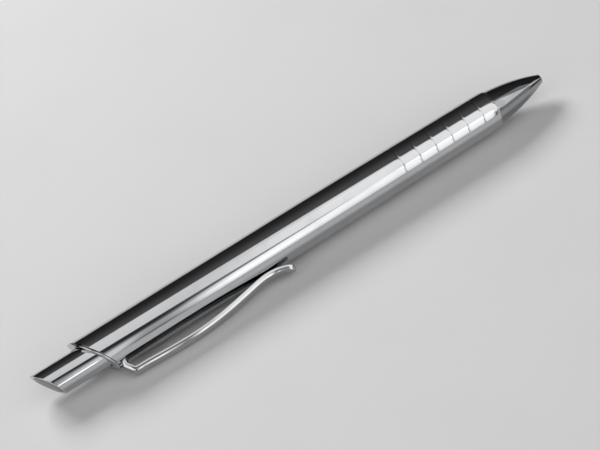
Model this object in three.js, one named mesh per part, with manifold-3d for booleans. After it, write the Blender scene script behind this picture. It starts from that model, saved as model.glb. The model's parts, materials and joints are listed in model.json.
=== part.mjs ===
// A pushbutton ballpoint pen, lying on its side with its point drawn in and the
// edge of its clip on the table. Millimetres, +Z up. The pen's axis runs along X
// with the point towards +X, and the origin is on the flat facet under the barrel
// that the pen rests on.
//
// A place along the axis is called a station: it is measured from the middle of
// the slanted rear mouth, positive towards the point. Before the whole pen is
// rolled onto its clip, the clip points along -Y.

import * as THREE from "three";
import { mergeVertices } from "three/addons/utils/BufferGeometryUtils.js";
import Module from "manifold-3d";

const wasm = await Module();
wasm.setup();

// How finely round shapes are divided
const shellSides = 36;
const innerSides = 24;
const pinSides = 12;
const curveSteps = 8;

// Clearances that every piece shares
const fitGap = 0.1;
const runGap = 0.15;
const stopGap = 0.3;
const overrun = 2;

// Barrel: a drawn tube with an oblique mouth and a ring of grooves near the front
const barrelRadius = 5.5;
const barrelWall = 0.7;
const barrelLength = 112.6;
const mouthSlant = THREE.MathUtils.degToRad(34);
const taperLength = 55;
const bodyTaper = 0.45;
const shoulderTaper = 0.12;
const grooveCount = 6;
const groovePitch = 4.66;
const grooveSetback = 4.2;
const grooveWidth = 0.5;
const grooveDepth = 0.14;
const restStation = 50.6;

// Bezel ring: the lip over the mouth and the sleeve that guides the button
const lipDepth = 0.54;
const bezelLength = 8.1;

// Button: a round shell with a plate in its oblique end
const buttonRadius = 3.85;
const buttonReach = 11.9;
const buttonWall = 0.5;
const capRim = 0.7;
const capDepth = 0.35;
const buttonStroke = 5;

// Button core: the stem in the shell and the collar behind the bezel ring
const collarLength = 1.2;
const stemRadius = 2.3;
const stemLength = 4;

// Clip: a bowed strip hooked through a notch in the rear of the barrel
const clipWidth = 4;
const clipThickness = 1.1;
const clipLength = 45.25;
const clipBow = 3.5;
const clipStart = 5.35;
const clipLean = 1.35;
const clipKnee = 0.9;
const clipEndWidth = 3.4;
const footThickness = 0.4;
const footLength = 1.6;
const footWidth = 2.6;

// Shares of the clip's length, and of its bow above where it meets the barrel,
// that its middle line passes, from the corner above the leg to the flared end
const clipRunShares = [0.109, 0.193, 0.271, 0.348, 0.425, 0.503, 0.598, 0.702, 0.801, 0.859, 0.912, 0.962, 1];
const clipRiseShares = [0.83, 0.91, 0.97, 1, 0.97, 0.88, 0.67, 0.37, 0.07, 0, 0.08, 0.32, 0.66];
const clipCornerShare = 0.8;

// Cam: the crown on the stem, the turning cam and the fixed sleeve they run in
const camCoreRadius = 2.45;
const camRibHeight = 0.8;
const camRibWidth = 1.2;
const camRibCount = 4;
const camTeeth = 8;
const toothHeight = 0.6;
const pusherLength = 6;
const pusherRibLength = 3;
const pusherBore = 1.3;
const rotorLength = 5.4;
const rotorRibLength = 3;
const pilotLength = 2.4;
const sleeveWall = 1.1;
const sleeveLength = 22;

// Refill
const refillRadius = 2.9;
const refillWall = 0.35;
const capLength = 3;
const plugLength = 3;
const inkShare = 0.7;
const followerLength = 4;
const springCollarRadius = 2.2;
const springCollarLength = 1.5;
const neckRadius = 1.3;
const neckConeLength = 1.6;
const pointRadius = 0.9;
const pointLength = 13;
const pointConeLength = 2.6;
const pointLipRadius = 0.5;
const inkBore = 0.25;
const ballRadius = 0.4;
const ballGap = 0.04;
const pointSetback = 0.7;

// Nose cone, its thread and the insert in the barrel that takes it
const noseLength = 14.9;
const noseEndRadius = 1.3;
const noseEdge = 0.2;
const noseFullShare = 0.54;
const noseTaper = 0.075;
const noseStep = 0.4;
const spigotRadius = 2.95;
const spigotLength = 6;
const threadPitch = 0.8;
const threadDepth = 0.25;
const threadTurns = 5;
const noseBore = 2.4;
const springSeatShare = 0.47;
const insertLength = 8;
const insertWall = 0.45;
const sealRadius = 0.3;

// Spring
const wireRadius = 0.2;
const springRadius = 1.9;
const springTurns = 10;
const curlSteps = 8;
const wireSides = 5;

// Sizes that follow from those above
const boreRadius = barrelRadius - barrelWall;
const slope = Math.tan(mouthSlant);
const taperStart = barrelLength - taperLength;
const guideRadius = buttonRadius + runGap;
const bezelRadius = boreRadius - fitGap;
const collarStart = bezelLength + stopGap;
const collarEnd = collarStart + collarLength;
const stemEnd = collarEnd + stemLength;
const pusherEnd = stemEnd + pusherLength;
const rotorStart = pusherEnd + stopGap;
const rotorEnd = rotorStart + rotorLength;
const sleeveStart = collarEnd + buttonStroke + stopGap;
const refillStart = rotorEnd;
const landEnd = refillStart - stopGap - toothHeight;
const tubeStart = refillStart + capLength;
const tubeBore = refillRadius - refillWall;
const noseEnd = barrelLength + noseLength;
const spigotStart = barrelLength - spigotLength;
const tubeEnd = spigotStart - buttonStroke - stopGap - neckConeLength;
const springCollarEnd = tubeEnd + neckConeLength + springCollarLength;
const pointEnd = noseEnd - pointSetback;
const neckEnd = pointEnd - pointLength;
const springSeat = barrelLength + noseLength * springSeatShare;
const noseMouth = pointRadius + runGap;
const sealStation = barrelLength - sealRadius - fitGap;
const insertEnd = sealStation - sealRadius - fitGap;
const insertBore = spigotRadius + fitGap;
const insertRadius = insertBore + insertWall;
const clipTouch = clipThickness / 2 + runGap;
const clipOuter = barrelRadius + clipBow + clipThickness / 2;
const restRadius = barrelRadius * Math.cos(Math.PI / shellSides);
const cutterSize = barrelRadius * 4;

// The roll that brings the clip's outer edge down to the table with the barrel
const clipCorner = Math.hypot(clipOuter, clipWidth / 2);
const roll = Math.asin(restRadius / clipCorner) - Math.atan2(clipWidth / 2, clipOuter);

// Polished and plain finishes
function finish(color, metalness, roughness) {
  return new THREE.MeshStandardMaterial({ color, metalness, roughness });
}

// The same geometry with its corners shared, no empty faces and its faces outwards
function closed(geometry) {
  const bare = geometry.clone();
  bare.deleteAttribute("normal");
  bare.deleteAttribute("uv");
  const merged = mergeVertices(bare);
  const corners = merged.getAttribute("position");
  const kept = [];
  let volume = 0;
  const points = [new THREE.Vector3(), new THREE.Vector3(), new THREE.Vector3()];
  for (let i = 0; i < merged.index.count; i += 3) {
    const face = [0, 1, 2].map((k) => merged.index.getX(i + k));
    if (new Set(face).size < 3) {
      continue;
    }
    face.forEach((corner, k) => points[k].fromBufferAttribute(corners, corner));
    volume += points[0].dot(points[1].clone().cross(points[2]));
    kept.push(face);
  }
  const outward = volume > 0 ? kept : kept.map((face) => face.toReversed());
  merged.setIndex(outward.flat());
  return merged;
}

// A closed geometry as a solid that can be joined and cut
function solid(geometry) {
  const shape = closed(geometry);
  const vertProperties = new Float32Array(shape.getAttribute("position").array);
  const triVerts = new Uint32Array(shape.index.array);
  return new wasm.Manifold(new wasm.Mesh({ numProp: 3, vertProperties, triVerts }));
}

// A joined or cut solid as a geometry
function geometryOf(shape) {
  const mesh = shape.getMesh();
  const geometry = new THREE.BufferGeometry();
  const places = new Float32Array(mesh.vertProperties);
  geometry.setAttribute("position", new THREE.BufferAttribute(places, 3));
  geometry.setIndex(new THREE.BufferAttribute(new Uint32Array(mesh.triVerts), 1));
  geometry.computeVertexNormals();
  return geometry;
}

// A round body about the pen's axis, from an outline of [station, radius] pairs. One
// of its facets faces the table once the pen is rolled
function turned(outline, sides = shellSides) {
  const profile = outline.map(([station, radius]) => new THREE.Vector2(radius, station));
  const facetTurn = Math.PI - roll - Math.PI / sides;
  const body = new THREE.LatheGeometry(profile, sides, facetTurn);
  body.rotateZ(-Math.PI / 2);
  return closed(body);
}

// A rod, and a tube, between two stations
function rod(radius, start, end, sides = innerSides) {
  return turned([[start, 0], [start, radius], [end, radius], [end, 0]], sides);
}

function tube(radius, bore, start, end, sides = innerSides) {
  return turned([[start, bore], [start, radius], [end, radius], [end, bore], [start, bore]], sides);
}

// A block that fills everything behind, or in front of, the slanted plane that
// crosses the axis at a station
function slantBlock(station, side) {
  const block = new THREE.BoxGeometry(cutterSize, cutterSize, cutterSize);
  block.translate((side * cutterSize) / 2, 0, 0);
  block.rotateZ(mouthSlant);
  block.translate(station, 0, 0);
  return solid(block);
}

const behind = (station) => slantBlock(station, -1);
const inFront = (station) => slantBlock(station, 1);

// A box between two stations, on the clip's side, between two distances from the axis
function clipSideBox(start, end, low, high, width) {
  const box = new THREE.BoxGeometry(end - start, high - low, width);
  box.translate((start + end) / 2, -(low + high) / 2, 0);
  return solid(box);
}

// The barrel's outside: a straight tube that narrows gently, then rounds into the nose
const bodyBend = 1.3;
const shoulderBend = 60;
const ridgeSteps = 4;

function barrelOutside(station) {
  const share = Math.max(station - taperStart, 0) / taperLength;
  return barrelRadius - bodyTaper * share ** bodyBend - shoulderTaper * share ** shoulderBend;
}

const noseRadius = barrelOutside(barrelLength);
const frontBore = insertRadius + fitGap;
const firstGroove = barrelLength - grooveSetback - groovePitch * (grooveCount - 1);
const frontBoreStart = firstGroove - groovePitch / 2;

// The notch that the clip's leg stands in, open at the barrel's rear edge
const legHalf = clipThickness / 2;
const notchEnd = clipStart + legHalf + stopGap;
const notchWidth = clipWidth + stopGap * 2;

function barrel() {
  const rear = -barrelRadius * slope - overrun;
  const outline = [[rear, boreRadius], [rear, barrelRadius], [taperStart, barrelRadius]];
  const openRun = firstGroove - grooveWidth / 2 - taperStart;
  for (let i = 1; i < curveSteps; i += 1) {
    const station = taperStart + (openRun * i) / curveSteps;
    outline.push([station, barrelOutside(station)]);
  }
  for (let i = 0; i < grooveCount; i += 1) {
    const middle = firstGroove + groovePitch * i;
    const edges = [middle - grooveWidth / 2, middle + grooveWidth / 2];
    outline.push([edges[0], barrelOutside(edges[0])]);
    outline.push([middle, barrelOutside(middle) - grooveDepth]);
    outline.push([edges[1], barrelOutside(edges[1])]);
    const next = i < grooveCount - 1 ? middle + groovePitch : barrelLength;
    for (let step = 1; step < ridgeSteps; step += 1) {
      const station = middle + ((next - middle) * step) / ridgeSteps;
      outline.push([station, barrelOutside(station)]);
    }
  }
  outline.push([barrelLength, noseRadius], [barrelLength, frontBore]);
  outline.push([frontBoreStart, frontBore], [frontBoreStart, boreRadius]);
  outline.push([rear, boreRadius]);
  const notch = clipSideBox(rear, notchEnd, boreRadius / 2, barrelRadius + overrun, notchWidth);
  return solid(turned(outline)).subtract(behind(lipDepth + fitGap)).subtract(notch);
}

// The window in the bezel ring's sleeve that the clip's foot lies in
const windowWidth = footWidth + stopGap * 2;

function bezelRing() {
  const rear = -barrelRadius * slope - overrun;
  const front = barrelRadius * slope + overrun;
  const lip = solid(tube(barrelRadius, guideRadius, rear, front, shellSides));
  const sleeve = solid(tube(bezelRadius, guideRadius, rear, bezelLength, shellSides));
  const ring = lip.subtract(inFront(lipDepth)).add(sleeve).subtract(behind(0));
  const windowStart = guideRadius * slope + lipDepth + fitGap;
  const windowEnd = clipStart + legHalf + footLength + stopGap;
  const window = clipSideBox(windowStart, windowEnd, guideRadius / 2, boreRadius, windowWidth);
  return ring.subtract(window.subtract(behind(lipDepth + fitGap)));
}

// A station behind every part of the button
const buttonRear = -buttonReach - buttonRadius * slope - overrun;

function buttonShell() {
  const seat = capDepth + fitGap - buttonReach;
  const outside = solid(rod(buttonRadius, buttonRear, collarStart));
  const hollow = solid(rod(buttonRadius - buttonWall, buttonRear, collarStart + overrun));
  const recess = solid(rod(buttonRadius - capRim, buttonRear, 0));
  return outside
    .subtract(behind(-buttonReach))
    .subtract(hollow.subtract(behind(seat + buttonWall)))
    .subtract(recess.subtract(inFront(seat)));
}

function buttonCap() {
  const disc = solid(rod(buttonRadius - capRim - fitGap, buttonRear, 0));
  return disc.subtract(behind(-buttonReach)).subtract(inFront(capDepth - buttonReach));
}

function buttonCore() {
  const plugRadius = buttonRadius - buttonWall - fitGap;
  const collarRadius = boreRadius - runGap;
  const plugStart = capDepth + fitGap + buttonWall + fitGap - buttonReach;
  const outline = [
    [buttonRear, 0], [buttonRear, plugRadius], [collarStart, plugRadius], [collarStart, collarRadius],
    [collarEnd, collarRadius], [collarEnd, stemRadius], [stemEnd, stemRadius], [stemEnd, 0],
  ];
  return solid(turned(outline, innerSides)).subtract(behind(plugStart));
}

// The clip's middle line from the front of its foot to its end, as places along the
// axis and distances from it, each with half the thickness there
function clipLine() {
  const footDistance = guideRadius + fitGap + footThickness / 2;
  const rise = clipBow - clipTouch;
  const line = [
    [clipStart + legHalf + footLength, footDistance, footThickness / 2],
    [clipStart + footThickness / 2, footDistance, footThickness / 2],
    [clipStart, barrelRadius, legHalf - fitGap],
    [clipStart, barrelRadius + clipKnee, legHalf],
    [clipStart + clipLean, barrelRadius + clipTouch + rise * clipCornerShare, legHalf],
  ];
  const bow = new THREE.SplineCurve(
    clipRunShares.map((share, i) => new THREE.Vector2(
      clipStart + clipLength * share,
      barrelRadius + clipTouch + rise * clipRiseShares[i],
    )),
  );
  for (const place of bow.getSpacedPoints(clipRunShares.length * 2)) {
    line.push([place.x, place.y, legHalf]);
  }
  return line;
}

// A strip's outline, from its middle line with a half thickness at each point. At a
// sharp corner the thickness is spread no more than the sharpest corner's cosine allows
const sharpestCorner = 0.5;

function strip(line) {
  const upper = [];
  const lower = [];
  line.forEach(([x, y, half], i) => {
    const before = line[Math.max(i - 1, 0)];
    const after = line[Math.min(i + 1, line.length - 1)];
    const inward = new THREE.Vector2(x - before[0], y - before[1]).normalize();
    const outward = new THREE.Vector2(after[0] - x, after[1] - y).normalize();
    const along = inward.clone().add(outward).normalize();
    const reach = half / Math.max(along.dot(i ? inward : outward), sharpestCorner);
    upper.push(new THREE.Vector2(x - along.y * reach, y + along.x * reach));
    lower.unshift(new THREE.Vector2(x + along.y * reach, y - along.x * reach));
  });
  return new THREE.Shape([...upper, ...lower]);
}

function clip() {
  const plain = { bevelEnabled: false, curveSegments: curveSteps };
  const side = new THREE.ExtrudeGeometry(strip(clipLine()), { ...plain, depth: clipWidth });
  side.translate(0, 0, -clipWidth / 2);
  side.scale(1, -1, 1);
  const plan = new THREE.Shape();
  const end = clipStart + clipLength + legHalf;
  const endHalf = clipEndWidth / 2;
  plan.moveTo(clipStart - clipThickness, -clipWidth / 2);
  plan.lineTo(clipStart + clipLength / 2, -clipWidth / 2);
  plan.lineTo(end - endHalf, -endHalf);
  plan.absarc(end - endHalf, 0, endHalf, -Math.PI / 2, Math.PI / 2);
  plan.lineTo(clipStart + clipLength / 2, clipWidth / 2);
  plan.lineTo(clipStart - clipThickness, clipWidth / 2);
  const above = new THREE.ExtrudeGeometry(plan, { ...plain, depth: cutterSize });
  above.translate(0, 0, -cutterSize / 2);
  above.rotateX(Math.PI / 2);
  const whole = solid(side).intersect(solid(above));
  const footTop = Math.sqrt(bezelRadius ** 2 - (windowWidth / 2) ** 2) + fitGap;
  const start = clipStart - clipThickness;
  const stop = clipStart + legHalf + footLength + overrun;
  const shelf = clipSideBox(start, stop, 0, footTop, clipWidth + overrun);
  const foot = clipSideBox(start, stop, 0, footTop + overrun, footWidth);
  return whole.subtract(shelf.subtract(foot));
}

// A ring whose rear and front faces may be waves of pointed teeth
function toothedRing(radius, bore, start, end, rearTeeth, frontTeeth) {
  const steps = camTeeth * 2;
  const places = [];
  const faces = [];
  for (let i = 0; i < steps; i += 1) {
    const angle = (i * 2 * Math.PI) / steps;
    const lift = (i % 2) * toothHeight;
    const rear = start + (rearTeeth ? lift : 0);
    const front = end + (frontTeeth ? lift : 0);
    for (const [station, distance] of [[rear, bore], [rear, radius], [front, radius], [front, bore]]) {
      places.push(station, distance * Math.cos(angle), distance * Math.sin(angle));
    }
    for (let k = 0; k < 4; k += 1) {
      const a = i * 4 + k;
      const b = i * 4 + ((k + 1) % 4);
      const c = ((i + 1) % steps) * 4 + ((k + 1) % 4);
      const d = ((i + 1) % steps) * 4 + k;
      faces.push(a, b, c, a, c, d);
    }
  }
  const ring = new THREE.BufferGeometry();
  ring.setAttribute("position", new THREE.Float32BufferAttribute(places, 3));
  ring.setIndex(faces);
  return solid(ring);
}

// Blocks set round the axis, one for each rib or slot of the cam
function spokes(start, end, low, high, width) {
  const blocks = [];
  for (let i = 0; i < camRibCount; i += 1) {
    const block = new THREE.BoxGeometry(end - start, high - low, width);
    block.translate((start + end) / 2, (low + high) / 2, 0);
    block.rotateX((i * 2 * Math.PI) / camRibCount);
    blocks.push(solid(block));
  }
  return blocks.reduce((all, block) => all.add(block));
}

function camPusher() {
  const crown = toothedRing(camCoreRadius, pusherBore, stemEnd, pusherEnd, false, true);
  const ribEnd = pusherEnd - toothHeight / 2;
  const ribs = spokes(ribEnd - pusherRibLength, ribEnd, camCoreRadius - camRibWidth / 2,
    camCoreRadius + camRibHeight, camRibWidth);
  return crown.add(ribs);
}

function camRotor() {
  const bodyEnd = rotorEnd - camRibHeight;
  const bossRadius = camCoreRadius - camRibHeight;
  const pilotRadius = pusherBore - runGap;
  const crown = toothedRing(camCoreRadius, pilotRadius / 2, rotorStart, bodyEnd, true, false);
  const core = solid(turned([
    [rotorStart - pilotLength, 0], [rotorStart - pilotLength, pilotRadius],
    [rotorStart + toothHeight, pilotRadius], [bodyEnd, bossRadius], [rotorEnd, bossRadius], [rotorEnd, 0],
  ], innerSides));
  const ribStart = rotorStart + toothHeight;
  const ribs = spokes(ribStart, ribStart + rotorRibLength, camCoreRadius - camRibWidth / 2,
    camCoreRadius + camRibHeight, camRibWidth);
  return crown.add(core).add(ribs);
}

function camSleeve() {
  const slotRadius = camCoreRadius + camRibHeight + runGap;
  const landRadius = slotRadius + sleeveWall / 2;
  const lands = toothedRing(landRadius, camCoreRadius + runGap, sleeveStart, landEnd, false, true);
  const slots = spokes(sleeveStart - overrun, landEnd + toothHeight + overrun, 0, slotRadius,
    camRibWidth + runGap * 2);
  const sleeveEnd = sleeveStart + sleeveLength;
  const shell = solid(tube(boreRadius - fitGap, slotRadius, sleeveStart, sleeveEnd, shellSides));
  return lands.subtract(slots).add(shell);
}

function refillCap() {
  const plugRadius = tubeBore - fitGap;
  return turned([
    [refillStart, 0], [refillStart, refillRadius], [tubeStart, refillRadius], [tubeStart, plugRadius],
    [tubeStart + plugLength, plugRadius], [tubeStart + plugLength, 0],
  ], innerSides);
}

// The ink fills a share of the tube between its two plugs, with the grease behind it
const shoulderPlug = tubeEnd - plugLength;
const inkEnd = shoulderPlug - fitGap;
const inkStart = inkEnd - (shoulderPlug - tubeStart - plugLength) * inkShare;

function refillShoulder() {
  const plugRadius = tubeBore - fitGap;
  const coneEnd = tubeEnd + neckConeLength;
  return turned([
    [shoulderPlug, inkBore], [shoulderPlug, plugRadius], [tubeEnd, plugRadius], [tubeEnd, refillRadius],
    [coneEnd, springCollarRadius], [springCollarEnd, springCollarRadius], [springCollarEnd, neckRadius],
    [neckEnd, neckRadius], [neckEnd, inkBore], [shoulderPlug, inkBore],
  ], innerSides);
}

const ballStation = pointEnd - ballRadius / 2;

function refillPoint() {
  const coneStart = pointEnd - pointConeLength;
  const cup = ballRadius + ballGap;
  return turned([
    [neckEnd, inkBore], [neckEnd, pointRadius], [coneStart, pointRadius], [pointEnd, pointLipRadius],
    [pointEnd, cup], [ballStation - cup, cup], [ballStation - cup * 2, inkBore], [neckEnd, inkBore],
  ], pinSides);
}

function ball() {
  const sphere = new THREE.SphereGeometry(ballRadius, pinSides, curveSteps);
  sphere.translate(ballStation, 0, 0);
  return closed(sphere);
}

function noseCone() {
  const control = noseLength * noseFullShare;
  const base = noseRadius - noseStep;
  const side = new THREE.QuadraticBezierCurve(
    new THREE.Vector2(barrelLength, base),
    new THREE.Vector2(barrelLength + control, base - noseTaper * control),
    new THREE.Vector2(noseEnd - noseEdge, noseEndRadius),
  );
  const outline = side.getPoints(curveSteps).map((place) => [place.x, place.y]);
  outline.push([noseEnd, noseEndRadius - noseEdge / 2], [noseEnd, noseMouth], [springSeat, noseMouth]);
  outline.push([springSeat, noseBore], [spigotStart, noseBore], [spigotStart, spigotRadius - threadDepth]);
  for (let i = 0; i < threadTurns; i += 1) {
    const root = spigotStart + threadPitch * i;
    outline.push([root + threadPitch / 2, spigotRadius], [root + threadPitch, spigotRadius - threadDepth]);
  }
  const neck = spigotStart + threadPitch * threadTurns + threadDepth;
  outline.push([neck, spigotRadius], [barrelLength, spigotRadius], [barrelLength, base]);
  return turned(outline);
}

function threadInsert() {
  return tube(insertRadius, insertBore, insertEnd - insertLength, insertEnd, shellSides);
}

function sealRing() {
  const middle = spigotRadius + fitGap / 2 + sealRadius;
  const outline = [];
  for (let i = 0; i <= curveSteps; i += 1) {
    const angle = (i * 2 * Math.PI) / curveSteps;
    outline.push([sealStation + sealRadius * Math.cos(angle), middle + sealRadius * Math.sin(angle)]);
  }
  return turned(outline, innerSides);
}

// The spring: one unbroken wire that winds round the axis, with its ends run out
// straight for one wire diameter
function spring() {
  const start = springCollarEnd + wireRadius + fitGap;
  const end = springSeat - wireRadius - fitGap;
  const steps = springTurns * curlSteps;
  const rise = (end - start) / steps;
  const step = (2 * Math.PI) / curlSteps;
  const frames = [];
  for (let i = 0; i <= steps; i += 1) {
    const out = new THREE.Vector3(0, Math.cos(i * step), Math.sin(i * step));
    const turn = new THREE.Vector3(0, -Math.sin(i * step), Math.cos(i * step));
    const along = turn.multiplyScalar(springRadius * step).setX(rise).normalize();
    const middle = out.clone().multiplyScalar(springRadius).setX(start + rise * i);
    frames.push({ middle, out, along });
  }
  const runOut = (frame, way) => ({
    ...frame,
    middle: frame.middle.clone().addScaledVector(frame.along, way * wireRadius * 2),
  });
  frames.unshift(runOut(frames[0], -1));
  frames.push(runOut(frames.at(-1), 1));
  const places = [];
  for (const { middle, out, along } of frames) {
    const across = along.clone().cross(out);
    for (let k = 0; k < wireSides; k += 1) {
      const angle = (k * 2 * Math.PI) / wireSides;
      const corner = middle.clone()
        .addScaledVector(out, wireRadius * Math.cos(angle))
        .addScaledVector(across, wireRadius * Math.sin(angle));
      places.push(...corner.toArray());
    }
  }
  const faces = [];
  for (let i = 0; i + 1 < frames.length; i += 1) {
    for (let k = 0; k < wireSides; k += 1) {
      const a = i * wireSides + k;
      const b = i * wireSides + ((k + 1) % wireSides);
      faces.push(a, b, b + wireSides, a, b + wireSides, a + wireSides);
    }
  }
  const last = (frames.length - 1) * wireSides;
  for (let k = 1; k + 1 < wireSides; k += 1) {
    faces.push(0, k + 1, k, last, last + k, last + k + 1);
  }
  let gap = Infinity;
  frames.forEach((frame, i) => {
    for (const other of frames.slice(i + curlSteps / 2)) {
      gap = Math.min(gap, frame.middle.distanceTo(other.middle) - wireRadius * 2);
    }
  });
  console.log(`spring: least gap between its curls ${gap.toFixed(2)} mm`);
  const coil = new THREE.BufferGeometry();
  coil.setAttribute("position", new THREE.Float32BufferAttribute(places, 3));
  coil.setIndex(faces);
  return closed(coil);
}

const pen = new THREE.Group();

function add(name, shape, material) {
  const geometry = shape.isBufferGeometry ? shape : geometryOf(shape);
  geometry.computeVertexNormals();
  const mesh = new THREE.Mesh(geometry, material);
  mesh.name = name;
  pen.add(mesh);
}

add("barrel", barrel(), finish(0xc4c6ca, 1, 0.12));
add("bezel_ring", bezelRing(), finish(0xd2d4d8, 1, 0.08));
add("thread_insert", threadInsert(), finish(0xb08d4a, 1, 0.3));
add("cam_sleeve", camSleeve(), finish(0xd8d6cf, 0, 0.5));
add("clip", clip(), finish(0xd2d4d8, 1, 0.06));
add("button_shell", buttonShell(), finish(0xc8cace, 1, 0.08));
add("button_cap", buttonCap(), finish(0x8d8b86, 1, 0.2));
add("button_core", buttonCore(), finish(0x2c2d30, 0, 0.5));
add("cam_pusher", camPusher(), finish(0xe3e1da, 0, 0.45));
add("cam_rotor", camRotor(), finish(0x3c6fb0, 0, 0.45));
add("refill_cap", refillCap(), finish(0x2b2b2e, 0, 0.5));
add("refill_tube", tube(refillRadius, tubeBore, tubeStart, tubeEnd), finish(0xb9bbbf, 1, 0.25));
add("ink_follower", rod(tubeBore - fitGap, inkStart - fitGap - followerLength, inkStart - fitGap),
  finish(0xd9cfa0, 0, 0.4));
add("ink", rod(tubeBore - fitGap, inkStart, inkEnd), finish(0x10142e, 0, 0.3));
add("refill_shoulder", refillShoulder(), finish(0xb08d4a, 1, 0.3));
add("refill_point", refillPoint(), finish(0xc9b375, 1, 0.25));
add("ball", ball(), finish(0x8f9296, 1, 0.15));
add("spring", spring(), finish(0xb4b6ba, 1, 0.25));
add("nose_cone", noseCone(), finish(0x9fa2a8, 1, 0.06));
add("o_ring", sealRing(), finish(0x17181a, 0, 0.6));

pen.position.set(-restStation, 0, restRadius);
pen.rotation.x = roll;

const table = new THREE.Group();
table.add(pen);

export default table;
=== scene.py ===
# A pushbutton ballpoint pen lying on a pale table, with its point drawn in and the
# edge of its clip on the table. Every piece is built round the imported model, in
# metres, in the order in which the pen is put together.

import json
import math

import bmesh
import bpy
from mathutils import Matrix, Quaternion, Vector
from mathutils.geometry import interpolate_bezier


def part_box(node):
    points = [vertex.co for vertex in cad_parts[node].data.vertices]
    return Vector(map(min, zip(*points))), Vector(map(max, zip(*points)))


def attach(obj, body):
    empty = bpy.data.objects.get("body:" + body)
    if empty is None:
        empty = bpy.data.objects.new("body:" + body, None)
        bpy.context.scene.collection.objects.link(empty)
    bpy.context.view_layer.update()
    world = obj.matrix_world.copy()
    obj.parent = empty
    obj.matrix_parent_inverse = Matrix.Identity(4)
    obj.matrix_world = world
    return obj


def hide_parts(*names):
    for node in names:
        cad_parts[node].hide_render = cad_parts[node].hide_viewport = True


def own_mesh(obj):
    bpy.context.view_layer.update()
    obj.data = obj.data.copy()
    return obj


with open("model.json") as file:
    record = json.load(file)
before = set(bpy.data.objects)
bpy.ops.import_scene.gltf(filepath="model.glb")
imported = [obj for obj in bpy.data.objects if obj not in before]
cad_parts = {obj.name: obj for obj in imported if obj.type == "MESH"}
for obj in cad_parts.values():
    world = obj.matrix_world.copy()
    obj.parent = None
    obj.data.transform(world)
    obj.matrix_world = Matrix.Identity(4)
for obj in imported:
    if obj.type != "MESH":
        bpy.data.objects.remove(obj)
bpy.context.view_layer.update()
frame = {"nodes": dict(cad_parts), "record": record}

# ---------------------------------------------------------------- Barrel
# The barrel is drawn from one steel tube, cut off obliquely at the rear, turned with
# six fine grooves where the fingers hold it, and polished and plated. The clip's leg
# stands in the notch that is milled into its rear edge.
mm = 0.001

# A station is a place along the pen's axis, counted forward from the middle of the
# slanted mouth. The frame's origin lies on the table, under the rest station.
rest_station = 50.6 * mm
axis_height = (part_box("refill_tube")[0].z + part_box("refill_tube")[1].z) / 2

# The button's push face tells how far the pen is rolled and how steeply its mouth slants.
push_face = next(m for m in frame["record"]["mounts"] if m["name"] == "push_face")
push_axis = Vector(push_face["axis"])
roll = math.atan2(-push_axis.z, -push_axis.y)
slope = math.sqrt(1 / push_axis.x**2 - 1)

barrel_radius = axis_height
barrel_bore = 4.8 * mm
barrel_rear = 0.64 * mm
barrel_slant_end = 1.28 * mm
barrel_length = 112.6 * mm
taper_length = 55 * mm
taper_steps = 24
body_taper = 0.45 * mm
body_bend = 1.3
shoulder_taper = 0.12 * mm
shoulder_bend = 60
groove_count = 6
groove_pitch = 4.66 * mm
first_groove = 85.1 * mm
groove_width = 0.5 * mm
groove_depth = 0.035 * mm
groove_steps = 8
ridge_steps = 9
front_bore = 3.6 * mm
front_bore_start = 82.77 * mm
notch_end = 6.2 * mm
notch_width = 4.6 * mm

edge_ease = 0.07 * mm
ease_steps = 3
ease_angle = math.radians(25)
hard_edge = math.radians(35)
fine_sides = 160
plain_sides = 64
merge_distance = mm / 10000

chrome_grey = (0.56, 0.565, 0.575, 1)
chrome_shade = (0.50, 0.505, 0.52, 1)
lengthwise = Vector((0.03, 1, 1))
smear_detail = 3.0
smear_start = 0.45
smear_full = 0.75
grain_detail = 2.0
grain_height = mm / 2000


def barrel_outside(station):
    """The barrel's radius: it tapers gently, and rounds off just before its front end."""
    share = max(station - (barrel_length - taper_length), 0) / taper_length
    return barrel_radius - body_taper * share**body_bend - shoulder_taper * share**shoulder_bend


def spun(outline, sides=plain_sides, closed=False):
    """A round shape about the X axis, from an outline of (station, radius) pairs."""
    bm = bmesh.new()
    points = [bm.verts.new((station, radius, 0)) for station, radius in outline]
    ends = points[1:] + points[:1] if closed else points[1:]
    edges = [bm.edges.new(pair) for pair in zip(points, ends)]
    bmesh.ops.spin(bm, geom=points + edges, cent=(0, 0, 0), axis=(1, 0, 0),
                   angle=math.tau, steps=sides, use_merge=True)
    bmesh.ops.remove_doubles(bm, verts=bm.verts, dist=merge_distance)
    bmesh.ops.recalc_face_normals(bm, faces=bm.faces)
    return bm


def slanted(bm, station):
    """Shears what lies behind a station, so that its rear runs parallel to the mouth."""
    shear = Matrix.Identity(4)
    shear[0][1] = -slope
    rear = [v for v in bm.verts if v.co.x < station]
    bmesh.ops.transform(bm, matrix=shear, verts=rear)
    return bm


def eased(bm, width):
    """Rounds every edge that is sharper than the ease angle."""
    bm.normal_update()
    edges = [e for e in bm.edges if len(e.link_faces) == 2 and e.calc_face_angle(0) > ease_angle]
    bmesh.ops.bevel(bm, geom=edges, offset=width, offset_type="OFFSET", segments=ease_steps,
                    profile=0.5, affect="EDGES", clamp_overlap=True, material=-1)
    return bm


def cut(bm, cutter):
    """What is left of one closed shape when another is taken from it."""
    whole, tool = [
        bpy.data.objects.new(name, bpy.data.meshes.new(name)) for name in ("whole", "tool")
    ]
    for shape, thing in ((bm, whole), (cutter, tool)):
        shape.to_mesh(thing.data)
        shape.free()
        bpy.context.scene.collection.objects.link(thing)
    step = whole.modifiers.new("cut", "BOOLEAN")
    step.object, step.operation, step.solver = tool, "DIFFERENCE", "EXACT"
    left = bmesh.new()
    left.from_object(whole, bpy.context.evaluated_depsgraph_get())
    for thing in (whole, tool):
        bpy.data.meshes.remove(thing.data)
    return left


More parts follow.
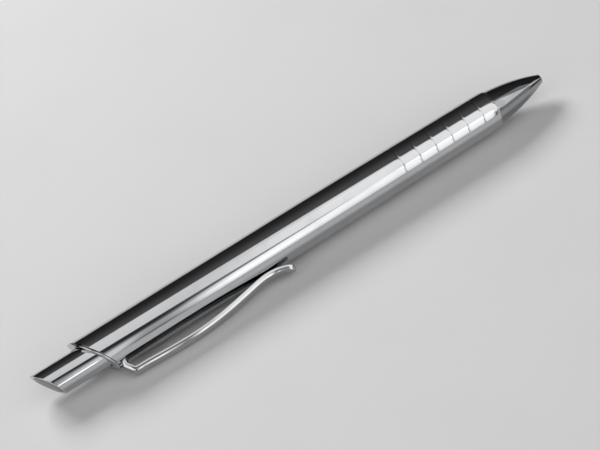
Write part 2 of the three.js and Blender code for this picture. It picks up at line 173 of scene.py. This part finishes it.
def block(start, end, low, high, width):
    """A block on the clip's side, between two stations and two distances from the axis."""
    bm = bmesh.new()
    place = Vector(((start + end) / 2, -(low + high) / 2, 0))
    size = Matrix.Diagonal((end - start, high - low, width, 1))
    bmesh.ops.create_cube(bm, size=1, matrix=Matrix.Translation(place) @ size)
    return bm


def piece(name, bm, body, material, slot, *nodes):
    """A finished piece: laid along the pen's axis and rolled onto its clip."""
    lay = Matrix.Translation((-rest_station, 0, axis_height)) @ Matrix.Rotation(roll, 4, "X")
    bmesh.ops.transform(bm, matrix=lay, verts=bm.verts)
    bm.normal_update()
    for face in bm.faces:
        face.smooth = True
    for edge in bm.edges:
        edge.smooth = len(edge.link_faces) != 2 or edge.calc_face_angle(0) < hard_edge
    thing = bpy.data.objects.new(name, bpy.data.meshes.new(name))
    bm.to_mesh(thing.data)
    bm.free()
    bpy.context.scene.collection.objects.link(thing)
    thing.data.materials.append(material)
    thing.modifiers.new("even_shading", "WEIGHTED_NORMAL").keep_sharp = True
    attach(thing, body)
    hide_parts(*nodes)
    return thing


def node(tree, kind, links=(), **values):
    """A shader node with its values set and its inputs linked."""
    made = tree.nodes.new(kind)
    for key, value in values.items():
        setattr(made, key, value)
    for socket, source in links:
        if isinstance(source, bpy.types.NodeSocket):
            tree.links.new(source, made.inputs[socket])
        else:
            made.inputs[socket].default_value = source
    return made


def group(name, inputs, outputs):
    """A node group with named inputs, each holding a plain value, and named outputs."""
    made = bpy.data.node_groups.new(name, "ShaderNodeTree")
    kinds = {tuple: "NodeSocketColor", Vector: "NodeSocketVector", float: "NodeSocketFloat"}
    for socket, value in inputs.items():
        given = made.interface.new_socket(
            socket, in_out="INPUT", socket_type=kinds[type(value)],
        )
        given.default_value = value
    for socket, kind in outputs.items():
        made.interface.new_socket(socket, in_out="OUTPUT", socket_type=kind)
    start, end = made.nodes.new("NodeGroupInput"), made.nodes.new("NodeGroupOutput")
    return made, start.outputs, end.inputs


def worn_surface():
    """Smears that come from handling, and a fine grain that may be drawn out one way."""
    tree, given, out = group(
        "worn_surface",
        {"Clean": chrome_grey, "Handled": chrome_shade, "Roughness": 0.05, "Smear": 0.05,
         "Smear Scale": 95.0, "Draw": lengthwise, "Grain Scale": 5200.0, "Grain": 0.2},
        {"Color": "NodeSocketColor", "Roughness": "NodeSocketFloat", "Normal": "NodeSocketVector"},
    )
    place = node(tree, "ShaderNodeTexCoord").outputs["Object"]
    smear = node(tree, "ShaderNodeTexNoise", [
        ("Vector", place), ("Scale", given["Smear Scale"]), ("Detail", smear_detail),
    ]).outputs["Fac"]
    smeared = node(tree, "ShaderNodeMapRange", [
        ("Value", smear), ("From Min", smear_start), ("From Max", smear_full),
    ]).outputs["Result"]
    drawn = node(tree, "ShaderNodeMapping", [("Vector", place), ("Scale", given["Draw"])])
    grain = node(tree, "ShaderNodeTexNoise", [
        ("Vector", drawn.outputs["Vector"]), ("Scale", given["Grain Scale"]),
        ("Detail", grain_detail),
    ]).outputs["Fac"]
    # A mix of colours has its share at socket 0, its colours at 6 and 7, its result at 2.
    tint = node(tree, "ShaderNodeMix", [
        (0, smeared), (6, given["Clean"]), (7, given["Handled"]),
    ], data_type="RGBA").outputs[2]
    rough = node(tree, "ShaderNodeMath", [
        (0, smeared), (1, given["Smear"]), (2, given["Roughness"]),
    ], operation="MULTIPLY_ADD").outputs["Value"]
    relief = node(tree, "ShaderNodeBump", [
        ("Height", grain), ("Strength", given["Grain"]), ("Distance", grain_height),
    ]).outputs["Normal"]
    for name, source in (("Color", tint), ("Roughness", rough), ("Normal", relief)):
        tree.links.new(source, out[name])
    return tree


surface = worn_surface()


def finish(name, metallic=0.0, **values):
    """A material whose colour, roughness and relief come from the worn surface."""
    made = bpy.data.materials.new(name)
    made.use_nodes = True
    tree = made.node_tree
    shader = tree.nodes["Principled BSDF"]
    shader.inputs["Metallic"].default_value = metallic
    worn = node(tree, "ShaderNodeGroup", node_tree=surface)
    for socket, value in values.items():
        worn.inputs[socket.replace("_", " ")].default_value = value
    tree.links.new(worn.outputs["Color"], shader.inputs["Base Color"])
    tree.links.new(worn.outputs["Roughness"], shader.inputs["Roughness"])
    tree.links.new(worn.outputs["Normal"], shader.inputs["Normal"])
    return made


def barrel():
    taper_start = barrel_length - taper_length
    plain_run = first_groove - groove_width / 2 - taper_start
    outline = [(barrel_rear, barrel_radius)]
    for i in range(taper_steps):
        s = taper_start + plain_run * i / taper_steps
        outline.append((s, barrel_outside(s)))
    for i in range(groove_count):
        middle = first_groove + groove_pitch * i
        left, right = middle - groove_width / 2, middle + groove_width / 2
        for k in range(groove_steps + 1):
            s = left + groove_width * k / groove_steps
            sunk = groove_depth * (1 - math.cos(math.tau * k / groove_steps)) / 2
            outline.append((s, barrel_outside(s) - sunk))
        after = middle + groove_pitch if i < groove_count - 1 else barrel_length
        for k in range(1, ridge_steps):
            s = right + (after - groove_width / 2 - right) * k / ridge_steps
            outline.append((s, barrel_outside(s)))
    outline += [(barrel_length, barrel_outside(barrel_length)), (barrel_length, front_bore),
                (front_bore_start, front_bore), (front_bore_start, barrel_bore),
                (barrel_rear, barrel_bore)]
    tube = eased(slanted(spun(outline, fine_sides, closed=True), barrel_slant_end), edge_ease)
    rearmost = -barrel_radius * slope * 2
    return cut(tube, block(rearmost, notch_end, barrel_bore / 2, barrel_radius * 2, notch_width))


bright_chrome = finish("bright_chrome", metallic=1.0)
piece("barrel_tube", barrel(), "barrel", bright_chrome, "barrel_metal", "barrel")

# ---------------------------------------------------------------- Thread insert
# A plain brass bush, pressed into the front of the barrel to take the nose's thread.
# It was turned from bar, so its grain runs round it.
roundwise = Vector((1, 0.02, 0.02))
brass = finish(
    "brass", metallic=1.0, Clean=(0.62, 0.44, 0.17, 1), Handled=(0.5, 0.33, 0.12, 1),
    Roughness=0.22, Smear=0.12, Draw=roundwise, Grain_Scale=9000.0, Grain=0.5,
)


def coated(name, material):
    """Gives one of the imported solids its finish."""
    frame["nodes"][name].material_slots[0].material = material


coated("thread_insert", brass)

# ---------------------------------------------------------------- Bezel ring
# A bright ring that closes the slanted mouth. Its sleeve is glued into the barrel and
# guides the button, and a window in the sleeve lets the clip's foot in.
lip_depth = 0.54 * mm
lip_slant_end = 1.08 * mm
lip_ease = 0.26 * mm
guide_radius = 4 * mm
sleeve_radius = 4.7 * mm
bezel_length = 8.1 * mm
window_start = 4 * mm
window_end = 7.8 * mm
window_width = 3.2 * mm


def bezel_ring():
    outline = [(0, guide_radius), (0, barrel_radius), (lip_depth, barrel_radius),
               (lip_depth, sleeve_radius), (bezel_length, sleeve_radius),
               (bezel_length, guide_radius)]
    ring = eased(slanted(spun(outline, fine_sides, closed=True), lip_slant_end), lip_ease)
    window = block(window_start, window_end, guide_radius / 2, barrel_radius, window_width)
    return cut(ring, window)


piece("bezel_ring_lip", bezel_ring(), "barrel", bright_chrome, "bright_chrome", "bezel_ring")

# ---------------------------------------------------------------- Clip
# One strip of spring steel, pressed into a bow, with its edges rounded and its end
# flared. The leg goes down through the notch, and its foot hooks under the sleeve.
clip_width = 4 * mm
clip_end_width = 3.4 * mm
clip_thickness = 1.1 * mm
clip_start = 5.35 * mm
clip_length = 45.25 * mm
clip_bow = 3.5 * mm
clip_gap = 0.15 * mm
clip_touch = clip_thickness / 2 + clip_gap
clip_lean = 1.35 * mm
clip_knee = 0.9 * mm
clip_corner_share = 0.8
clip_corner_round = 0.35 * mm
corner_points = 7

# The bow's line, as shares of the clip's length and of its greatest rise.
clip_line = (
    (0.109, 0.83), (0.193, 0.91), (0.271, 0.97), (0.348, 1), (0.425, 0.97), (0.503, 0.88),
    (0.598, 0.67), (0.702, 0.37), (0.801, 0.07), (0.859, 0), (0.912, 0.08), (0.962, 0.32),
    (1, 0.66),
)
line_steps = 12

# A handle of that line reaches a sixth of the way between its point's neighbours.
handle_part = 6

# The strip's section is drawn at these shares of its thickness, from its inner face.
clip_section = (0, 0.025, 0.07, 0.15, 0.25, 0.35, 0.45, 0.55, 0.65, 0.75, 0.85, 0.93, 1)
clip_dome = 0.45 * mm
clip_dome_bend = 2.4
clip_ease = 0.05 * mm
clip_ease_share = 0.07
clip_end_round = 0.45 * mm
clip_end_thinning = 0.1
clip_end_narrowing = 0.125

leg_low = 4.62 * mm
foot_low = 4.1 * mm
foot_high = 4.44 * mm
foot_start = 4.9 * mm
foot_end = 7.5 * mm
foot_width = 2.5 * mm
foot_lap = 0.14 * mm


def smooth_line(points, steps):
    """A smooth curve through the points, as evenly many places between each two."""
    line = []
    for i in range(len(points) - 1):
        before, start = points[max(i - 1, 0)], points[i]
        end, after = points[i + 1], points[min(i + 2, len(points) - 1)]
        lead = start + (end - before) / handle_part
        trail = end - (after - start) / handle_part
        line += interpolate_bezier(start, lead, trail, end, steps + 1)[:-1]
    return line + [points[-1]]


def clip_half(station):
    """Half the clip's width at a station: it narrows a little and ends in a half round."""
    end, half_way = clip_start + clip_length, clip_start + clip_length / 2
    end_half = clip_end_width / 2
    if station > end - end_half:
        least = (end_half * clip_end_narrowing) ** 2
        return math.sqrt(max(end_half**2 - (station - end + end_half) ** 2, least))
    share = max(station - half_way, 0) / (end - end_half - half_way)
    return clip_width / 2 + (end_half - clip_width / 2) * share


def set_in(share):
    """How far the clip's side is set in, from its inner face to its rounded outer one."""
    edge = max(1 - share / clip_ease_share, 0)
    return clip_dome * share**clip_dome_bend + clip_ease * edge**2


def clip_run():
    """The middle of the strip, up the leg, round the corner and along the bow."""
    high = barrel_radius + clip_touch
    rise = clip_bow - clip_touch
    corner = Vector((clip_start + clip_lean, -high - rise * clip_corner_share, 0))
    bow = [
        Vector((clip_start + clip_length * run, -high - rise * share, 0))
        for run, share in clip_line
    ]
    knee = Vector((clip_start, -barrel_radius - clip_knee, 0))
    leave = corner + (knee - corner).normalized() * clip_corner_round
    arrive = corner + (bow[0] - corner).normalized() * clip_corner_round
    leg = [Vector((clip_start, -leg_low, 0)), Vector((clip_start, -barrel_radius, 0)), knee]
    bend = interpolate_bezier(
        leave, (leave + corner) / 2, (arrive + corner) / 2, arrive, corner_points,
    )
    return [*leg, (knee + leave) / 2, *bend, (arrive + bow[0]) / 2, *smooth_line(bow, line_steps)]


def clip_strip():
    """The strip's section, drawn out step by step along the clip's run."""
    run = clip_run()
    bm = bmesh.new()
    face = bm.faces.new([bm.verts.new() for share in clip_section * 2])
    for i, place in enumerate(run):
        if i:
            grown = bmesh.ops.extrude_face_region(bm, geom=[face, *face.edges])["geom"]
            face = next(part for part in grown if isinstance(part, bmesh.types.BMFace))
        arriving = place - run[i - 1] if i else run[1] - place
        leaving = run[i + 1] - place if i + 1 < len(run) else arriving
        along = (arriving.normalized() + leaving.normalized()).normalized()
        outward = Vector((along.y, -along.x, 0)) * clip_thickness / along.dot(leaving.normalized())
        past = max(place.x - clip_start - clip_length + clip_end_round, 0) / clip_end_round
        outward *= math.sqrt(max(1 - past**2, clip_end_thinning))
        half = clip_half(place.x)
        sides = [(share, half - set_in(share) * half * 2 / clip_width) for share in clip_section]
        around = sides + [(share, -reach) for share, reach in reversed(sides)]
        for vert, (share, reach) in zip(face.verts, around):
            vert.co = place + outward * (share - 0.5) + Vector((0, 0, reach))
    bmesh.ops.recalc_face_normals(bm, faces=bm.faces)
    return bm


def clip_foot():
    leg_front = clip_start + clip_thickness / 2
    leg_end = leg_low + foot_lap
    corners = [(foot_start, foot_low), (foot_end, foot_low), (foot_end, foot_high),
               (leg_front, foot_high), (leg_front, leg_end), (foot_start, leg_end)]
    bm = bmesh.new()
    face = bm.faces.new([bm.verts.new((s, -r, -foot_width / 2)) for s, r in corners])
    grown = bmesh.ops.extrude_face_region(bm, geom=[face])["geom"]
    far = [v for v in grown if isinstance(v, bmesh.types.BMVert)]
    bmesh.ops.translate(bm, vec=(0, 0, foot_width), verts=far)
    bmesh.ops.recalc_face_normals(bm, faces=bm.faces)
    return eased(bm, edge_ease)


piece("clip_strip", clip_strip(), "clip", bright_chrome, "bright_chrome", "clip")
piece("clip_foot", clip_foot(), "clip", bright_chrome, "bright_chrome", "clip")

# ---------------------------------------------------------------- Cam sleeve
# A moulded ribbed sleeve, pushed into the barrel from the rear. It holds the crown and
# the turning cam between its ribs.
evenly = Vector((1, 1, 1))
pale_plastic = finish(
    "pale_plastic", Clean=(0.72, 0.7, 0.63, 1), Handled=(0.6, 0.58, 0.51, 1),
    Roughness=0.42, Smear=0.12, Draw=evenly, Grain_Scale=3200.0, Grain=0.6,
)
coated("cam_sleeve", pale_plastic)

# ---------------------------------------------------------------- Pushbutton
# The button is a drawn shell whose closed end is cut parallel to the mouth. A satin
# plate is glued flush into a recess there, and a moulded core carries the cam's crown.
button_radius = 3.85 * mm
button_reach = 11.9 * mm
button_wall = 0.5 * mm
button_front = 8.4 * mm
button_ease = 0.22 * mm
cap_rim = 0.7 * mm
cap_depth = 0.35 * mm
cap_gap = 0.1 * mm


def button_shell():
    seat = cap_depth + cap_gap - button_reach
    recess = button_radius - cap_rim
    inside = button_radius - button_wall
    outline = [(seat, 0), (seat, recess), (-button_reach, recess),
               (-button_reach, button_radius), (button_front, button_radius),
               (button_front, inside), (seat + button_wall, inside), (seat + button_wall, 0)]
    return eased(slanted(spun(outline, fine_sides), 0), button_ease)


def button_cap():
    radius = button_radius - cap_rim - cap_gap
    outline = [(-button_reach, 0), (-button_reach, radius), (cap_depth - button_reach, radius),
               (cap_depth - button_reach, 0)]
    return eased(slanted(spun(outline, fine_sides), 0), edge_ease)


cap_metal = finish(
    "cap_metal", metallic=1.0, Clean=(0.17, 0.155, 0.135, 1), Handled=(0.14, 0.128, 0.11, 1),
    Roughness=0.28, Smear=0.1, Draw=evenly, Grain_Scale=6000.0, Grain=0.5,
)
dark_plastic = finish(
    "dark_plastic", Clean=(0.03, 0.031, 0.034, 1), Handled=(0.05, 0.05, 0.053, 1),
    Roughness=0.4, Smear=0.15, Draw=evenly, Grain_Scale=3200.0, Grain=0.6,
)
piece("button_body", button_shell(), "button", bright_chrome, "bright_chrome", "button_shell")
piece("button_plate", button_cap(), "button", cap_metal, "cap_metal", "button_cap")
coated("button_core", dark_plastic)
coated("cam_pusher", pale_plastic)

# ---------------------------------------------------------------- Turning cam
# The cam that the crown pushes, moulded in blue plastic. Its pilot turns in the crown
# and its ribs run in the sleeve's slots.
blue_plastic = finish(
    "blue_plastic", Clean=(0.05, 0.15, 0.42, 1), Handled=(0.07, 0.18, 0.45, 1),
    Roughness=0.38, Smear=0.12, Draw=evenly, Grain_Scale=3200.0, Grain=0.6,
)
coated("cam_rotor", blue_plastic)

# ---------------------------------------------------------------- Refill
# A drawn steel tube with a plug at its rear, grease, ink, and a brass shoulder that
# the spring pushes on. The point is turned from nickel silver and holds the ball.
refill_radius = 2.9 * mm
plug_radius = 2.45 * mm
plug_rear = 96.7 * mm
tube_end = 99.7 * mm
cone_end = 101.3 * mm
collar_radius = 2.2 * mm
collar_end = 102.8 * mm
neck_radius = 1.3 * mm
neck_end = 113.8 * mm
ink_bore = 0.25 * mm
point_radius = 0.9 * mm
point_end = 126.8 * mm
point_cone = 2.6 * mm
point_lip = 0.5 * mm
ball_radius = 0.4 * mm
ball_station = 126.6 * mm
ball_cup = 0.44 * mm
ball_sides = 32
ball_rings = 20


def refill_shoulder():
    outline = [(plug_rear, ink_bore), (plug_rear, plug_radius), (tube_end, plug_radius),
               (tube_end, refill_radius), (cone_end, collar_radius), (collar_end, collar_radius),
               (collar_end, neck_radius), (neck_end, neck_radius), (neck_end, ink_bore)]
    return eased(spun(outline, closed=True), edge_ease)


def refill_point():
    outline = [(neck_end, ink_bore), (neck_end, point_radius),
               (point_end - point_cone, point_radius), (point_end, point_lip),
               (point_end, ball_cup), (ball_station - ball_cup, ball_cup),
               (ball_station - ball_cup * 2, ink_bore)]
    return spun(outline, closed=True)


def ball():
    bm = bmesh.new()
    bmesh.ops.create_uvsphere(bm, u_segments=ball_sides, v_segments=ball_rings,
                              radius=ball_radius,
                              matrix=Matrix.Translation((ball_station, 0, 0)))
    return bm


tube_steel = finish(
    "tube_steel", metallic=1.0, Clean=(0.55, 0.555, 0.57, 1), Handled=(0.46, 0.465, 0.48, 1),
    Roughness=0.2, Smear=0.12, Grain=0.5,
)
grease = finish(
    "grease", Clean=(0.62, 0.55, 0.3, 1), Handled=(0.5, 0.44, 0.24, 1),
    Roughness=0.25, Smear=0.1, Draw=evenly, Grain_Scale=900.0, Grain=0.3,
)
ink = finish(
    "ink", Clean=(0.006, 0.008, 0.03, 1), Handled=(0.01, 0.012, 0.045, 1),
    Roughness=0.12, Smear=0.08, Draw=evenly, Grain_Scale=700.0, Grain=0.2,
)
nickel_silver = finish(
    "nickel_silver", metallic=1.0, Clean=(0.58, 0.53, 0.43, 1), Handled=(0.48, 0.44, 0.36, 1),
    Roughness=0.16, Smear=0.1, Draw=roundwise, Grain_Scale=9000.0, Grain=0.4,
)
coated("refill_cap", dark_plastic)
coated("refill_tube", tube_steel)
coated("ink_follower", grease)
coated("ink", ink)
piece("refill_neck", refill_shoulder(), "refill", brass, "brass", "refill_shoulder")
piece("refill_tip", refill_point(), "refill", nickel_silver, "brass", "refill_point")
piece("writing_ball", ball(), "refill", tube_steel, "tube_steel", "ball")

# ---------------------------------------------------------------- Spring
# A coil of drawn spring wire round the refill's neck, with close coils at its ends.
# It stands between the shoulder's collar and the seat in the nose.
wire_radius = 0.2 * mm
wire_sides = 12
spring_radius = 1.9 * mm
spring_seat = 119.603 * mm
spring_gap = 0.03 * mm
end_turns = 1.25
end_pitch = 0.5 * mm
active_turns = 8
turn_steps = 32


def spring():
    start = collar_end + wire_radius + spring_gap
    end = spring_seat - wire_radius - spring_gap
    active_pitch = (end - start - end_turns * end_pitch * 2) / active_turns
    coils = ((end_turns, end_pitch), (active_turns, active_pitch), (end_turns, end_pitch))
    bm = bmesh.new()
    bmesh.ops.create_circle(bm, radius=wire_radius, segments=wire_sides,
                            matrix=Matrix.Translation((start, spring_radius, 0)))
    last = [*bm.verts, *bm.edges]
    for turns, pitch in coils:
        last = bmesh.ops.spin(bm, geom=last, cent=(0, 0, 0), axis=(1, 0, 0),
                              angle=math.tau * turns, steps=round(turns * turn_steps),
                              dvec=(pitch / turn_steps, 0, 0))["geom_last"]
    bmesh.ops.holes_fill(bm, edges=[e for e in bm.edges if e.is_boundary], sides=0)
    bmesh.ops.recalc_face_normals(bm, faces=bm.faces)
    return bm


spring_steel = finish(
    "spring_steel", metallic=1.0, Clean=(0.5, 0.505, 0.52, 1), Handled=(0.42, 0.425, 0.44, 1),
    Roughness=0.22, Smear=0.1, Draw=evenly, Grain_Scale=4000.0, Grain=0.3,
)
spring_piece = piece("spring_coil", spring(), "barrel", spring_steel, "spring_steel", "spring")
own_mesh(spring_piece)

# ---------------------------------------------------------------- Nose cone
# A cone turned from bar, plated darker than the barrel, with a spigot that screws into
# the brass bush. A rubber ring at the spigot's root keeps it from working loose.
nose_end = 127.5 * mm
nose_step = 0.4 * mm
nose_end_radius = 1.3 * mm
nose_edge = 0.5 * mm
nose_edge_rise = 0.02 * mm
nose_mouth = 1.05 * mm
nose_bore = 2.4 * mm
nose_full_share = 0.54
nose_taper = 0.075
nose_pull = 2 / 3
side_points = 33
edge_points = 9
spigot_start = 106.6 * mm
spigot_radius = 2.95 * mm
thread_depth = 0.25 * mm
thread_pitch = 0.8 * mm
thread_turns = 5
thread_relief = 0.6 * mm
seal_station = 112.2 * mm
seal_radius = 0.3 * mm
seal_middle = 3.3 * mm
seal_sides = 16


def nose_cone():
    base = barrel_outside(barrel_length) - nose_step
    full = (nose_end - barrel_length) * nose_full_share
    start = Vector((barrel_length, base, 0))
    pull = Vector((barrel_length + full, base - nose_taper * full, 0))
    end = Vector((nose_end - nose_edge, nose_end_radius, 0))
    tip = Vector((nose_end, nose_mouth + nose_edge_rise, 0))
    side = interpolate_bezier(
        start, start.lerp(pull, nose_pull), end.lerp(pull, nose_pull), end, side_points,
    )
    lead = end + (end - pull).normalized() * nose_edge / 2
    brow = Vector((nose_end, (tip.y + lead.y) / 2, 0))
    side += interpolate_bezier(end, lead, brow, tip, edge_points)[1:]
    root = spigot_radius - thread_depth
    thread_end = spigot_start + thread_pitch * thread_turns + thread_relief
    outline = [(place.x, place.y) for place in side]
    outline += [(nose_end, nose_mouth), (spring_seat, nose_mouth), (spring_seat, nose_bore),
                (spigot_start, nose_bore), (spigot_start, root), (thread_end, root),
                (thread_end, spigot_radius), (barrel_length, spigot_radius)]
    return eased(spun(outline, fine_sides, closed=True), edge_ease)


def nose_thread():
    low, high = spigot_radius - thread_depth - edge_ease, spigot_radius
    start = spigot_start + thread_pitch / 2
    corners = [(start - thread_pitch / 2, low), (start, high), (start + thread_pitch / 2, low)]
    bm = bmesh.new()
    face = bm.faces.new([bm.verts.new((s, r, 0)) for s, r in corners])
    bmesh.ops.spin(bm, geom=[*face.verts, *face.edges], cent=(0, 0, 0), axis=(1, 0, 0),
                   angle=math.tau * thread_turns, steps=thread_turns * turn_steps,
                   dvec=(thread_pitch / turn_steps, 0, 0))
    bmesh.ops.holes_fill(bm, edges=[e for e in bm.edges if e.is_boundary], sides=0)
    bmesh.ops.recalc_face_normals(bm, faces=bm.faces)
    return bm


def seal_ring():
    turns = [math.tau * i / seal_sides for i in range(seal_sides)]
    return spun([
        (seal_station + seal_radius * math.cos(turn), seal_middle + seal_radius * math.sin(turn))
        for turn in turns
    ], closed=True)


dark_chrome = finish(
    "dark_chrome", metallic=1.0, Clean=(0.345, 0.35, 0.362, 1), Handled=(0.31, 0.315, 0.325, 1),
    Roughness=0.04, Smear=0.04,
)
seal_rubber = finish(
    "seal_rubber", Clean=(0.012, 0.012, 0.013, 1), Handled=(0.022, 0.022, 0.023, 1),
    Roughness=0.55, Smear=0.2, Draw=evenly, Grain_Scale=3200.0, Grain=0.7,
)
piece("nose_body", nose_cone(), "nose", dark_chrome, "dark_chrome", "nose_cone")
piece("nose_thread", nose_thread(), "nose", dark_chrome, "dark_chrome", "nose_cone")
piece("seal_ring", seal_ring(), "nose", seal_rubber, "seal_rubber", "o_ring")

# ---------------------------------------------------------------- Table and light
# A wide pale table, a large softbox overhead, lower ones in front of the pen and beyond
# both its ends, and a lamp behind it that throws its shadow forward. All stand still.
floor_reach = 3.0
pen_middle = Vector((0.005, 0, axis_height))
room_dark = 0.025
room_light = 0.13
room_bend = 4.9


def table_top():
    bm = bmesh.new()
    bmesh.ops.create_grid(bm, x_segments=1, y_segments=1, size=floor_reach)
    thing = bpy.data.objects.new("table_top", bpy.data.meshes.new("table_top"))
    bm.to_mesh(thing.data)
    bm.free()
    bpy.context.scene.collection.objects.link(thing)
    thing.data.materials.append(finish(
        "table_paint", Clean=(0.6, 0.6, 0.6, 1), Handled=(0.585, 0.585, 0.585, 1),
        Roughness=0.9, Smear=0.05, Smear_Scale=30.0, Draw=evenly, Grain_Scale=2000.0, Grain=0.1,
    ))


def faded(lamp, rim):
    """Dims a lamp smoothly towards each edge, over a share of its width and height."""
    lamp.use_nodes = True
    tree = lamp.node_tree
    spot = node(tree, "ShaderNodeNewGeometry").outputs["Parametric"]
    across = node(tree, "ShaderNodeSeparateXYZ", [(0, spot)])
    rises = []
    for way in ("X", "Y"):
        inward = node(tree, "ShaderNodeMath", [
            (0, across.outputs[way]), (1, 0.5),
        ], operation="PINGPONG").outputs["Value"]
        rises.append(node(tree, "ShaderNodeMapRange", [
            ("Value", inward), ("From Max", rim),
        ], interpolation_type="SMOOTHSTEP").outputs["Result"])
    glow = node(tree, "ShaderNodeMath", enumerate(rises), operation="MULTIPLY")
    tree.links.new(glow.outputs["Value"], tree.nodes["Emission"].inputs["Strength"])


def softbox(name, place, size, radiance, turn=0, rim=0, mirrored=True):
    """A rectangular lamp that faces the pen, turned by degrees about the line to it. The
    rim is the share of its size over which it fades at each edge."""
    width, height = size
    lamp = bpy.data.lights.new(name, "AREA")
    lamp.shape, lamp.size, lamp.size_y = "RECTANGLE", width, height
    lamp.energy = radiance * math.pi * width * height
    if rim:
        faded(lamp, rim)
    thing = bpy.data.objects.new(name, lamp)
    thing.location = place
    faced = (pen_middle - Vector(place)).to_track_quat("-Z", "Y")
    thing.rotation_euler = (faced @ Quaternion((0, 0, 1), math.radians(turn))).to_euler()
    thing.visible_camera = False
    thing.visible_glossy = mirrored
    bpy.context.scene.collection.objects.link(thing)


def room():
    """A dim room, lighter towards its ceiling."""
    world = bpy.data.worlds.new("room")
    world.use_nodes = True
    tree = world.node_tree
    around = node(tree, "ShaderNodeTexCoord").outputs["Generated"]
    way = node(tree, "ShaderNodeSeparateXYZ", [(0, around)])
    height = node(tree, "ShaderNodeMath", [
        (0, way.outputs["Z"]), (1, 0.0),
    ], operation="MAXIMUM").outputs["Value"]
    lift = node(tree, "ShaderNodeMath", [
        (0, height), (1, room_bend),
    ], operation="POWER").outputs["Value"]
    shade = node(tree, "ShaderNodeMapRange", [
        ("Value", lift), ("To Min", room_dark), ("To Max", room_light),
    ]).outputs["Result"]
    tree.links.new(shade, tree.nodes["Background"].inputs["Color"])
    return world


table_top()
softbox("overhead", (0.083, -0.172, 0.428), size=(1.087, 0.34), radiance=0.9, turn=-59.2)
softbox("side", (0.459, -0.746, 0.801), size=(2.075, 0.896), radiance=0.346, turn=62, rim=0.244)
softbox("window", (0.241, -0.8, 0.262), size=(0.436, 0.689), radiance=1.25, turn=-6.2, rim=0.178)
softbox("front", (-0.1, -0.689, 0.307), size=(0.414, 0.799), radiance=0.42, turn=41.2, rim=0.26)
softbox("slit", (-0.039, -0.72, 0.155), size=(0.085, 0.567), radiance=0.54, turn=-1.4, rim=0.292)
softbox("low", (-0.11, -0.8, 0.08), size=(0.15, 0.1), radiance=1.6)
softbox("left", (-0.6, -0.13, 0.3), size=(0.4, 0.6), radiance=1.3)
softbox("right", (0.547, -0.391, 0.284), size=(1.2, 0.32), radiance=0.397, turn=56.8, rim=0.114)
softbox("corner", (-0.55, -0.5, 0.25), size=(0.45, 0.4), radiance=1.3, rim=0.2)
softbox("far", (0.945, -0.33, 0.375), size=(0.34, 0.3), radiance=0.9, rim=0.15)
softbox("behind", (-0.1, 0.6, 0.5), size=(0.4, 0.3), radiance=16.0, mirrored=False)
bpy.context.scene.world = room()
bpy.context.scene.view_settings.view_transform = "Standard"

# ---------------------------------------------------------------- Camera
# It stands where the photograph was taken from, above the table in front of the pen.
# Its place and lens were fitted to the pen's rims, grooves and ends.
camera = bpy.data.objects.new("camera", bpy.data.cameras.new("camera"))
camera.data.lens = 87
camera.data.clip_start = 0.01
camera.location = (-0.05634, -0.22495, 0.25679)
camera.rotation_euler = [math.radians(turn) for turn in (41.17, 13.734, -30.819)]
bpy.context.scene.collection.objects.link(camera)
bpy.context.scene.camera = camera
